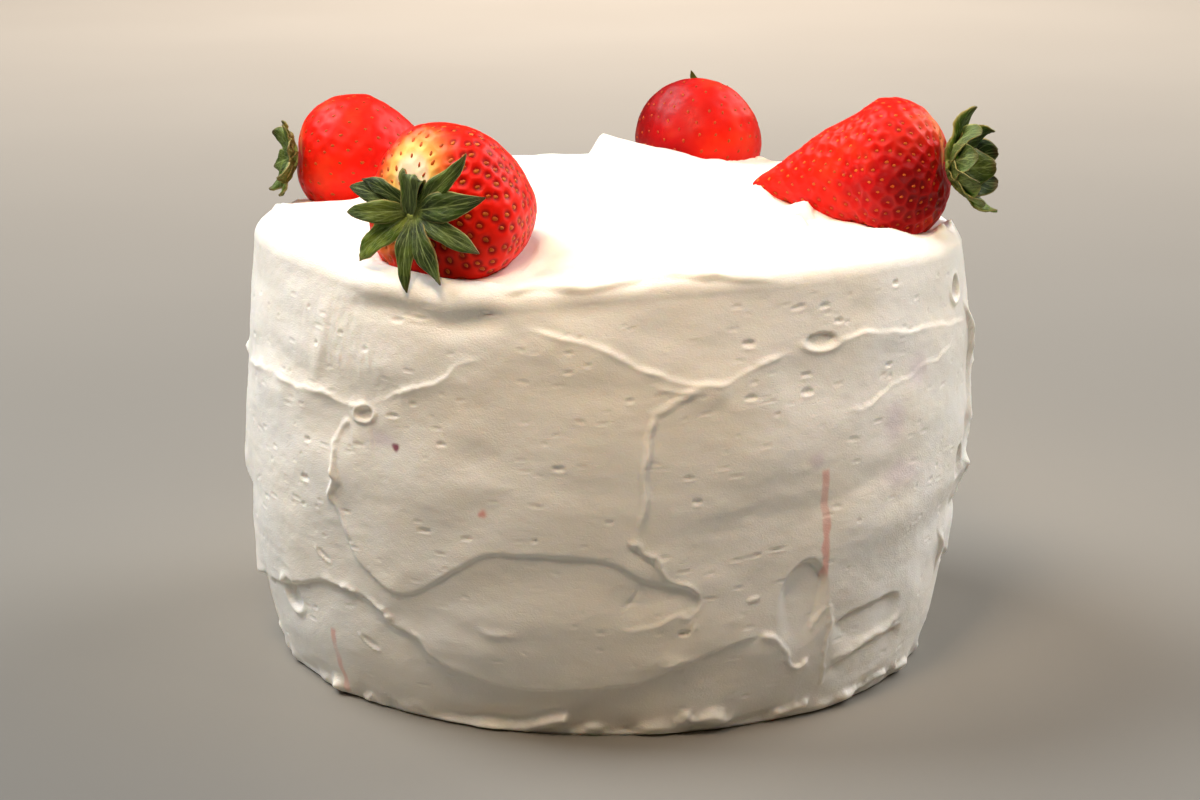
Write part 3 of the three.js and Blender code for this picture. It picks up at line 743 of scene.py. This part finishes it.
def nestle(cream, berries):
    """Presses the cream's top down under each berry, and raises a low lip of cream against it."""
    mesh = cream.data
    co = np.empty(len(mesh.vertices) * 3)
    mesh.vertices.foreach_get("co", co)
    co = co.reshape(-1, 3)
    blush = np.zeros(len(co))
    lowest_top, around = 90 * MM, 12 * MM
    for berry in berries:
        points = [v.co for v in berry.data.vertices]
        tree = BVHTree.FromPolygons(points, [p.vertices for p in berry.data.polygons])
        inside = (co > np.min(points, 0) - around) & (co < np.max(points, 0) + around)
        for i in np.flatnonzero(inside[:, 0] & inside[:, 1] & (co[:, 2] > lowest_top)):
            x, y, z = co[i]
            under = tree.ray_cast(Vector((x, y, 0)), Vector((0, 0, 1)))[0]
            away = tree.find_nearest(Vector((x, y, z)))[3] / MM
            if under is None:
                co[i, 2] += SEAT_LIP * MM * bell(away, SEAT_LIP_WIDTH)
            else:
                co[i, 2] = min(z, under.z + SEAT_GAP * MM)
            # painted glow: the cream is tinted pink near each berry, fading with distance
            blush[i] = max(blush[i], math.exp(-away / BLUSH_REACH))
    mesh.vertices.foreach_set("co", co.ravel())
    mesh.update()
    paint(cream, "blush", blush)


# ---- Strawberry flesh and seeds ----

def berry_basis(spec):
    """The berry's own directions, as rows: two across it, and the one from its tip to its crown."""
    axis = unit(np.array(spec["axis"]))
    across = unit(np.cross((0, 0, 1), axis))
    return np.stack([across, np.cross(axis, across), axis])


def to_world(spec, local):
    basis = berry_basis(spec)
    return np.array(spec["crown"]) + (local - (0, 0, spec["length"])) @ basis


def berry_stations(spec, count):
    """Share of the length from the tip and share of the half width, evenly along the outline."""
    s = np.linspace(0, 1, 400)[1:]
    bend = np.linspace(0, math.pi / 2, 300)[1:-1]
    widest = spec["widest"]
    along = np.concatenate([s * widest, widest + (1 - widest) * np.sin(bend) ** (2 / SHOULDER_POWER)])
    out = np.concatenate([(1 - (1 - s) ** spec["bluntness"]) ** spec["belly"],
                          np.cos(bend) ** (2 / SHOULDER_POWER)])
    walked = np.cumsum(np.hypot(np.diff(along, prepend=0) * spec["length"],
                                np.diff(out, prepend=0) * spec["width"] / 2))
    wanted = np.linspace(0.3, walked[-1], count)
    return np.interp(wanted, walked, along), np.interp(wanted, walked, out)


def berry_point(spec, along, out, turned):
    """Points of the plain berry in its own frame: tip at z = 0, crown along +Z."""
    radius = out * spec["width"] / 2 * (1 + 0.025 * np.cos(3 * turned + 1) * smooth(along, 0, 0.5))
    sunk = CROWN_DIMPLE * (1 - smooth(out, 0, 0.45)) * (along > spec["widest"])
    x, y = radius * np.cos(turned), radius * spec["squash"] * np.sin(turned)
    return np.stack(np.broadcast_arrays(x, y, along * spec["length"] - sunk), -1)


def lumps(spec, points):
    """How far the flesh swells and sinks between its dimples."""
    return (0.18 + 0.5 * spec["net"]) * rough(points + 40 * spec["length"], 9, 2)


def pale_share(spec, along, out, turned):
    """How pale the flesh is, from 0 to 1: only between its widest ring and the crown, and in patches."""
    degrees = np.degrees(turned)
    patches = sum(strength * bell(turn(degrees, at), spread) for at, spread, strength in spec["pale"])
    return np.where(along > spec["widest"], 1 - out, 0) * patches


def growth(along, pale):
    """How deep the dimples are, as a share: less towards the tip and where the flesh is pale."""
    return (0.35 + 0.65 * smooth(along, 0.1, 0.6)) * (1 - 0.7 * smooth(pale, 0.1, 0.5))


def seed_places(spec, rng):
    """Share of the length, share of the half width and turn of each seed, in a golden spiral."""
    along, out = berry_stations(spec, 400)
    numbers = np.arange(len(along))
    area = np.cumsum(out + 0.02)
    share = (np.arange(spec["seeds"]) + 0.5) / spec["seeds"]
    station = np.interp(share, area / area[-1], numbers)
    turned = np.arange(spec["seeds"]) * GOLDEN_TURN + rng.normal(0, 0.04, spec["seeds"])
    station += rng.normal(0, 1.3, spec["seeds"])
    keep = station < len(along) * 0.93
    station = np.clip(station[keep], 4, None)
    return np.interp(station, numbers, along), np.interp(station, numbers, out), turned[keep]


def nearest_two(seeds, points):
    """The distances from each point to the nearest seed and to the next."""
    tree = KDTree(len(seeds))
    for i, seed in enumerate(seeds):
        tree.insert(seed, i)
    tree.balance()
    return np.array([[found[2] for found in tree.find_n(point, 2)] for point in points]).T


def ripeness_and_shade(spec, along, turned, points):
    """How deep a red the flesh is, from orange red, 0, to crimson, 1: partly its own colour, and partly
    painted shade on the side away from sunny's turn, which goes a little beyond 1.
    """
    tip, crown = spec["deep"]
    side, strength = spec["sunny"]
    even = tip + (crown - tip) * smooth(along, 0.25, 0.95) - strength * np.cos(turned - math.radians(side))
    return np.clip(even.ravel() + 0.25 * noise(points, 14), 0, 1.4)


def berry(name, spec, rng):
    """The flesh, dimpled round every seed. Gives the piece and its seeds: the spec, and for each seed
    its place, its directions off the flesh and towards the tip, and how pale the flesh is there."""
    rows, columns = spec["rings"]
    along, out = (x[:, None] for x in berry_stations(spec, rows))
    turned = np.arange(columns) * 2 * math.pi / columns
    grid = berry_point(spec, along, out, turned)
    down = np.gradient(grid, axis=0)
    normal = unit(np.cross(np.roll(grid, -1, 1) - np.roll(grid, 1, 1), down))
    plain, down, normal = (x.reshape(-1, 3) for x in (grid, down, normal))
    seed_along, seed_out, seed_turn = seed_places(spec, rng)
    seeds = berry_point(spec, seed_along, seed_out, seed_turn)

    first, second = nearest_two(seeds, plain)
    dimple_and_shade = bell(first, 1.1)
    pale = pale_share(spec, along, out, turned).ravel()
    grown = growth(np.repeat(along, columns), pale)
    hilly = 0.6 + 0.8 * np.clip(noise(plain + 60, 16), -0.6, 0.7)
    ridge_and_sheen = spec["net"] * grown * hilly * (1 - smooth(second - first, 0, 1.3))
    relief = ridge_and_sheen - spec["dimple"] * grown * dimple_and_shade + lumps(spec, plain)
    flesh = plain + normal * relief[:, None]
    tip, crown = berry_point(spec, np.array([0, 1]), np.zeros(2), np.zeros(2))
    points = to_world(spec, np.concatenate([[tip], flesh, [crown]]))
    piece = mesh_object(f"berry_{name}", points, skin_faces([columns] * rows))
    deep = ripeness_and_shade(spec, along, turned, flesh)
    paint(piece, "deep", [deep[0], *deep, deep[-1]])
    paint(piece, "pale", [0, *pale, 1])
    # painted shade: the dimples round the seeds are painted a darker red, as strong as ring
    paint(piece, "dimple_and_shade", [0, *(dimple_and_shade * spec["ring"]), 0])
    # painted highlight: the ridges of the net are painted pinker, as a sheen
    paint(piece, "ridge_and_sheen", [0, *(2.4 * ridge_and_sheen), 0])

    index = [np.argmin(np.sum((plain - seed) ** 2, 1)) for seed in seeds]
    off, tipward = normal[index], -down[index]
    tipward = unit(tipward - off * np.sum(off * tipward, 1, keepdims=True))
    seed_pale = pale_share(spec, seed_along, seed_out, seed_turn)
    sunk = spec["dimple"] * growth(seed_along, seed_pale) - lumps(spec, seeds) - 0.05
    places = to_world(spec, seeds - off * sunk[:, None])
    basis = berry_basis(spec)
    return piece, (spec, places, off @ basis, tipward @ basis, seed_pale)


def seed_shell():
    """One seed as unit points along its length, its width and off the flesh, with its faces."""
    stations = np.linspace(-1, 1, 7)[1:-1]
    turned = np.arange(8) * math.pi / 4
    rings = [[(q, r * math.cos(t), r * math.sin(t)) for t in turned]
             for q, r in zip(stations, np.sqrt(1 - stations**2) * (1 - 0.3 * stations))]
    points = np.array([(-1, 0, 0), *[p for ring in rings for p in ring], (1, 0, 0)])
    return points, skin_faces([8] * len(stations))


def seeds(groups, rng):
    """All the seeds of all the berries, as one joined mesh."""
    shell, shell_faces = seed_shell()
    points, faces, shade = [], [], []
    for spec, *rows in groups:
        for place, off, tipward, pale in zip(*rows):
            spin = rng.normal(0, SEED_SPIN)
            aside = np.cross(off, tipward)
            length = SEED_LENGTH * (tipward * math.cos(spin) + aside * math.sin(spin))
            width = SEED_WIDTH * (aside * math.cos(spin) - tipward * math.sin(spin))
            width = width * (1 - 0.4 * min(1, 2 * pale))
            half = spec["seed_size"] * rng.uniform(*SEED_SIZES) / 2
            gold = spec["seed_tone"] * rng.uniform(0.4, 1) * (1 - 0.6 * min(1, 1.5 * pale))
            start = len(points) * len(shell)
            points.append(place + half * shell @ np.stack([length, width, SEED_HEIGHT * off]))
            faces += [[start + i for i in face] for face in shell_faces]
            shade.append(np.full(len(shell), gold))
    piece = mesh_object("strawberry_seeds", np.concatenate(points), faces)
    paint(piece, "shade", np.concatenate(shade))
    return piece


# ---- Leafy caps ----

def sepal_spine(share, turn_at, length, lift_foot, lift_tip, sway, rng):
    """The middle line of a leaf in the cap's frame, with its directions forward and level across."""
    # a leaf that lifts beyond 180 degrees is folded back over itself
    bend = smooth(share, 0.32, 0.52) if lift_tip > 180 else share**1.2
    lift = np.radians(lift_foot + (lift_tip - lift_foot) * bend + rng.normal(0, 14) * share**6)
    heading = np.radians(turn_at + sway * share**1.5 + rng.normal(0, 10) * share**5)
    forward = np.stack([np.cos(lift) * np.cos(heading), np.cos(lift) * np.sin(heading), np.sin(lift)], 1)
    level = np.stack([-np.sin(heading), np.cos(heading), 0 * heading], 1)
    start = np.array([math.cos(heading[0]), math.sin(heading[0]), 0]) * HUB_RADIUS * 0.45 + (0, 0, 0.5)
    walked = np.cumsum(forward, 0) - forward[0]
    return start + walked * length / (SEPAL_ROWS - 1), forward, level


def sepal(turn_at, length, width, lift_foot, lift_tip, sway, twist, tone, power, rng):
    """One leaf as a thin closed plate, folded along its midrib, that curls along its spine, in the cap's
    frame. For every point it also gives the share of the length, the place across the blade from -1 to
    1, whether it is on the underside, and the tone."""
    share = np.linspace(0, 1, SEPAL_ROWS)
    spine, forward, level = sepal_spine(share, turn_at, length, lift_foot, lift_tip, sway, rng)
    roll = np.radians(twist * share + rng.normal(0, 4))[:, None]
    beside = level * np.cos(roll) + np.cross(forward, level) * np.sin(roll)
    above = np.cross(forward, beside)[:, None]

    blade = np.linspace(-1, 1, SEPAL_COLUMNS)
    blade = np.sign(blade) * abs(blade) ** 0.8
    ruffle = 1 + 0.09 * np.sin(share * rng.uniform(9, 14) + rng.uniform(0, 6))
    half = np.interp(share, *np.transpose(SEPAL_OUTLINE)) ** power * width / 2 * ruffle
    fold = rng.uniform(0.28, 0.5) * np.sin(math.pi * np.clip(share + 0.12, 0, 1) ** 0.9)
    curled = rng.uniform(0.1, 0.5)
    half, fold, share = half[:, None], fold[:, None], share[:, None]
    height = half * (fold * abs(blade) - curled * abs(blade) ** 5)
    waves = 0.28 * np.sin(share * rng.uniform(10, 15) + rng.uniform(0, 6) + 1.2 * blade)
    height += waves * blade**2 * np.sin(math.pi * share)
    height += 0.05 * np.cos(blade * math.pi * 4.5 + rng.uniform(0, 3)) + 0.05 * rng.normal(size=height.shape)

    middle = spine[:, None] + beside[:, None] * (half * blade)[..., None] + above * height[..., None]
    thick = above * (0.1 + 0.175 * (1 - abs(blade)) ** 2 * (1 - 0.7 * share))[..., None]
    loops = np.concatenate([middle + thick, (middle - thick)[:, ::-1]], 1)
    points = np.concatenate([loops[:1].mean(1), loops.reshape(-1, 3), loops[-1:].mean(1)])
    along = np.repeat(share, 2 * SEPAL_COLUMNS)
    across = np.tile([*blade, *blade[::-1]], SEPAL_ROWS)
    under = np.tile(np.repeat([0, 1], SEPAL_COLUMNS), SEPAL_ROWS)
    marks = np.stack([along, across, under, np.full(len(along), tone)], 1)
    return points, np.concatenate([[[0, 0, 0, tone]], marks, [[1, 0, 0, tone]]])


def hub():
    """The small knob where the leaves join, with the hollow left by the stalk."""
    outline = [(2.6, 0.0), (2.9, 0.4), (2.5, 0.9), (1.7, 1.2), (1.2, 1.4), (0.9, 1.2), (0.5, 0.8)]
    turned = np.arange(16) * math.pi / 8
    rings = [np.stack([r * np.cos(turned), r * np.sin(turned), 0 * turned + z], 1) for r, z in outline]
    points = np.concatenate([[[0, 0, 0]], *rings, [[0, 0, 0.7]]])
    return points, skin_faces([16] * len(outline))


def calyx(name, spec, rng):
    knob, faces = hub()
    parts, marks = [knob], [np.tile([0, 0, 0, 0.6], (len(knob), 1))]
    plate_faces = skin_faces([2 * SEPAL_COLUMNS] * SEPAL_ROWS)
    count = len(knob)
    for row in SEPALS[name]:
        points, marked = sepal(*row, spec["leaf_power"], rng)
        parts.append(points)
        marks.append(marked)
        faces += [[count + i for i in face] for face in plate_faces]
        count += len(points)
    local = np.concatenate(parts) + (0, 0, spec["length"] + CALYX_GAP)
    piece = mesh_object(f"leaves_{name}", to_world(spec, local), faces)
    for label, values in zip(("along", "across", "under", "tone"), np.concatenate(marks).T):
        paint(piece, label, values)
    return piece


# ---- Materials ----

class Nodes:
    """A material's node tree, built by short calls. Colours are given by their sRGB numbers, 0 to 255."""

    def __init__(self, name):
        self.material = bpy.data.materials.new(name)
        self.material.use_nodes = True
        self.tree = self.material.node_tree

    def add(self, kind, inputs, output, **settings):
        """A new node. Each of its inputs gets a number or a link. Gives the named output."""
        node = self.tree.nodes.new(kind)
        for key, value in settings.items():
            setattr(node, key, value)
        self.feed(node, inputs)
        return node.outputs[output]

    def feed(self, node, inputs):
        for key, value in inputs.items():
            if isinstance(value, bpy.types.NodeSocket):
                self.tree.links.new(value, node.inputs[key])
            else:
                node.inputs[key].default_value = value

    def attribute(self, name):
        return self.add("ShaderNodeAttribute", {}, "Fac", attribute_name=name)

    def noise_at(self, place, scale, detail, roughness=0.5):
        inputs = {"Vector": place, "Scale": scale, "Detail": detail, "Roughness": roughness}
        return self.add("ShaderNodeTexNoise", inputs, "Fac")

    def noise(self, scale, detail, roughness=0.55, stretch=(1, 1, 1)):
        place = self.add("ShaderNodeTexCoord", {}, "Object")
        stretched = self.add("ShaderNodeMapping", {"Vector": place, "Scale": stretch}, "Vector")
        return self.noise_at(stretched, scale, detail, roughness)

    def ramp(self, value, low, high, to_low=0.0, to_high=1.0):
        inputs = {"Value": value, "From Min": low, "From Max": high, "To Min": to_low, "To Max": to_high}
        return self.add("ShaderNodeMapRange", inputs, "Result", interpolation_type="SMOOTHSTEP")

    def math(self, operation, a, b=0.0):
        return self.add("ShaderNodeMath", {0: a, 1: b}, 0, operation=operation)

    def mix(self, share, a, b):
        """The colour a, turning into the colour b as share goes from 0 to 1."""
        inputs = {"Factor": share, "A": colour(a), "B": colour(b)}
        return self.add("ShaderNodeMix", inputs, "Result", data_type="RGBA")

    def layers(self, base, rows):
        """The colour base with each row of a share and a colour laid over it in turn."""
        for share, over in rows:
            base = self.mix(share, base, over)
        return base

    def bump(self, height, distance, strength, onto=None):
        inputs = {"Height": height, "Distance": distance, "Strength": strength}
        if onto is not None:
            inputs["Normal"] = onto
        return self.add("ShaderNodeBump", inputs, "Normal")

    def finish(self, **inputs):
        """Feeds the shader and gives the material."""
        named = {key.replace("_", " "): value for key, value in inputs.items()}
        self.feed(self.tree.nodes["Principled BSDF"], named)
        return self.material


def colour(value):
    if isinstance(value, bpy.types.NodeSocket):
        return value
    return tuple(((c / 255 + 0.055) / 1.055) ** 2.4 if c > 10 else c / 255 / 12.92 for c in value) + (1.0,)


def cream_material():
    n = Nodes("whipped_cream")
    mottled = n.mix(n.ramp(n.noise(45, 4), 0.35, 0.7), (250, 246, 238), (248, 241, 228))
    stained = n.layers(mottled, [
        # painted glow: pink on the cream near the berries
        (n.ramp(n.attribute("blush"), 0.3, 1, 0, 0.2), (248, 190, 172)),
        (n.ramp(n.attribute("mauve"), 0, 1, 0, 0.5), (222, 208, 216)),
        (n.ramp(n.attribute("juice"), 0, 0.9), (232, 116, 96)),
        (n.ramp(n.attribute("plum"), 0.15, 0.8), (156, 92, 108)),
    ])
    tears = n.ramp(n.noise(420, 2, 0.5, (1, 1, 3)), 0.68, 0.76, 1, 0)
    grain = n.bump(n.noise(1900, 3, 0.6, (1, 1, 1.5)), 0.0001, 0.9)
    return n.finish(
        Base_Color=stained, Roughness=n.ramp(n.noise(130, 3), 0.3, 0.7, 0.3, 0.55),
        Normal=n.bump(tears, 0.0002, 0.25, grain), IOR=1.4,
        Subsurface_Weight=0.35, Subsurface_Scale=0.0012, Subsurface_Radius=(1, 0.75, 0.5))


def flesh_material():
    n = Nodes("strawberry_flesh")
    deep, dimple_and_shade = n.attribute("deep"), n.attribute("dimple_and_shade")
    patchy = n.noise(70, 3)
    patches = n.ramp(patchy, 0.3, 0.7)
    bright = n.mix(patches, (231, 20, 4), (239, 36, 9))
    crimson = n.mix(patches, (148, 2, 4), (182, 7, 9))
    pale = n.math("ADD", n.attribute("pale"), n.ramp(patchy, 0.3, 0.7, -0.05, 0.05))
    coloured = n.layers(n.mix(deep, bright, crimson), [
        # painted shade: past crimson, the flesh on the shaded side is painted a near black red
        (n.ramp(deep, 1.05, 1.4, 0, 0.8), (88, 1, 3)),
        # painted highlight: a pink sheen on the ridges of the net
        (n.ramp(n.attribute("ridge_and_sheen"), 0.15, 0.8, 0, 0.14), (230, 60, 50)),
        # painted shade: a darker red in the dimples round the seeds
        (n.ramp(dimple_and_shade, 0.15, 0.7, 0, 0.8), (134, 6, 4)),
        (n.ramp(pale, 0.02, 0.2), (243, 128, 60)),
        (n.ramp(pale, 0.15, 0.34), (247, 196, 104)),
        (n.ramp(pale, 0.32, 0.5), (250, 232, 200)),
    ])
    fine = n.noise(900, 2)
    return n.finish(
        Base_Color=coloured, Roughness=n.ramp(fine, 0.3, 0.7, 0.4, 0.52),
        Normal=n.bump(fine, 0.00006, 0.5), Specular_IOR_Level=0.14,
        Subsurface_Weight=0.2, Subsurface_Scale=0.0015, Subsurface_Radius=(1, 0.25, 0.12))


def seed_material():
    n = Nodes("strawberry_seed")
    tone = n.mix(n.attribute("shade"), (168, 40, 12), (230, 136, 44))
    darkened = n.mix(n.ramp(n.noise(1500, 2), 0.45, 0.75), tone, (176, 84, 30))
    return n.finish(
        Base_Color=darkened, Roughness=n.ramp(n.noise(2200, 2), 0.3, 0.7, 0.4, 0.6),
        Normal=n.bump(n.noise(2600, 2), 0.00005, 0.5), Specular_IOR_Level=0.15)


def leaf_material():
    n = Nodes("strawberry_leaf")
    along, across, tone = n.attribute("along"), n.attribute("across"), n.attribute("tone")
    patchy = n.noise(220, 4)
    patches = n.ramp(patchy, 0.3, 0.7)
    dark = n.mix(patches, (12, 24, 6), (54, 78, 26))
    light = n.mix(patches, (76, 102, 18), (132, 148, 44))
    aside = n.math("ABSOLUTE", across)
    slant = n.math("ADD", n.math("MULTIPLY", aside, 14), n.math("MULTIPLY", along, -26))
    veins = n.math("SINE", n.math("ADD", slant, n.ramp(patchy, 0, 1, 0, 3)))
    place = n.add("ShaderNodeCombineXYZ", {
        "X": n.math("MULTIPLY", across, 9), "Y": n.math("MULTIPLY", along, 3),
        "Z": n.math("MULTIPLY", tone, 9)}, "Vector")
    fibres = n.noise_at(place, 2.2, 5)
    coloured = n.layers(n.mix(tone, dark, light), [
        # painted shade: a leaf with a tone under 0 is painted near black
        (n.ramp(tone, -0.6, -0.1, 0.85, 0), (20, 22, 19)),
        (n.ramp(veins, 0.6, 1, 0, 0.3), (150, 168, 100)),
        (n.ramp(aside, 0, 0.1, 0.55, 0), (158, 176, 106)),
        (n.ramp(aside, 0.9, 1, 0, 0.75), (176, 156, 96)),
        (n.ramp(along, 0, 0.2, 0.5, 0), (150, 166, 84)),
        (n.ramp(along, 0.86, 1, 0, 0.6), (110, 76, 52)),
        (n.math("MULTIPLY", n.attribute("under"), 0.35), (120, 146, 84)),
        (n.ramp(fibres, 0.5, 0.35, 0, 0.5), (10, 18, 6)),
        (n.ramp(fibres, 0.56, 0.72, 0, 0.45), (150, 168, 108)),
    ])
    fine = n.noise(1100, 3)
    return n.finish(
        Base_Color=coloured, Roughness=n.ramp(fine, 0.3, 0.7, 0.4, 0.62),
        Normal=n.bump(fibres, 0.0003, 0.6, n.bump(fine, 0.00015, 0.8)), Specular_IOR_Level=0.25,
        Subsurface_Weight=0.1, Subsurface_Scale=0.001, Subsurface_Radius=(0.6, 1, 0.3))


def floor_material():
    n = Nodes("pale_floor")
    tone = n.mix(n.ramp(n.noise(3, 2), 0.3, 0.7), (131, 127, 119), (134, 130, 122))
    return n.finish(Base_Color=tone, Roughness=0.6)


# ---- The stage ----

def floor():
    turned = np.arange(96) * 2 * math.pi / 96
    ring = np.stack([np.cos(turned), np.sin(turned), 0 * turned], 1) * FLOOR_RADIUS / MM
    piece = mesh_object("floor", ring, [list(range(96))])
    piece.data.materials.append(floor_material())


def area_light(name, place, aim, size, power, tint, spread):
    data = bpy.data.lights.new(name, "AREA")
    data.shape = "DISK"
    data.size = size
    data.energy = power
    data.color = tint
    data.spread = math.radians(spread)
    lamp = bpy.data.objects.new(name, data)
    lamp.location = place
    lamp.rotation_euler = (Vector(aim) - Vector(place)).to_track_quat("-Z", "Y").to_euler()
    lamp.visible_camera = False
    bpy.context.scene.collection.objects.link(lamp)


def room():
    """The dim light from all round, and the view transform that lets the white top burn out."""
    world = bpy.data.worlds.new("room")
    world.use_nodes = True
    background = world.node_tree.nodes["Background"]
    background.inputs["Color"].default_value = ROOM_COLOUR
    background.inputs["Strength"].default_value = ROOM_STRENGTH
    bpy.context.scene.world = world
    bpy.context.scene.view_settings.view_transform = "Standard"


def camera():
    data = bpy.data.cameras.new("camera")
    data.lens = LENS_MM
    data.sensor_width = 36
    data.clip_start = 0.01
    data.clip_end = 20
    made = bpy.data.objects.new("camera", data)
    made.location = CAMERA_PLACE
    made.rotation_euler = (math.radians(90 - CAMERA_DIP), 0, math.radians(CAMERA_TURN))
    bpy.context.scene.collection.objects.link(made)
    bpy.context.scene.camera = made


# ---- Assembly ----

def finish_piece(piece, material, slot, *nodes):
    """Dresses a piece, hangs it on the root body, and hides the CAD nodes that it stands for."""
    piece.data.materials.append(material)
    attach(piece, "root")
    if nodes:
        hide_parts(*nodes)


def build():
    rng = np.random.default_rng(5)
    cream = frosting()
    flesh, leaf = flesh_material(), leaf_material()
    berries, groups = [], []
    for name, spec in STRAWBERRIES.items():
        piece, group = berry(name, spec, rng)
        berries.append(piece)
        groups.append(group)
        finish_piece(piece, flesh, "strawberry", f"strawberry_{name}")
        finish_piece(calyx(name, spec, rng), leaf, "leaf", f"calyx_{name}")
    nestle(cream, berries)
    finish_piece(cream, cream_material(), "cream", "frosted_cake")
    finish_piece(seeds(groups, rng), seed_material(), "strawberry")


camera()
build()
floor()
for row in LIGHTS:
    area_light(*row)
room()
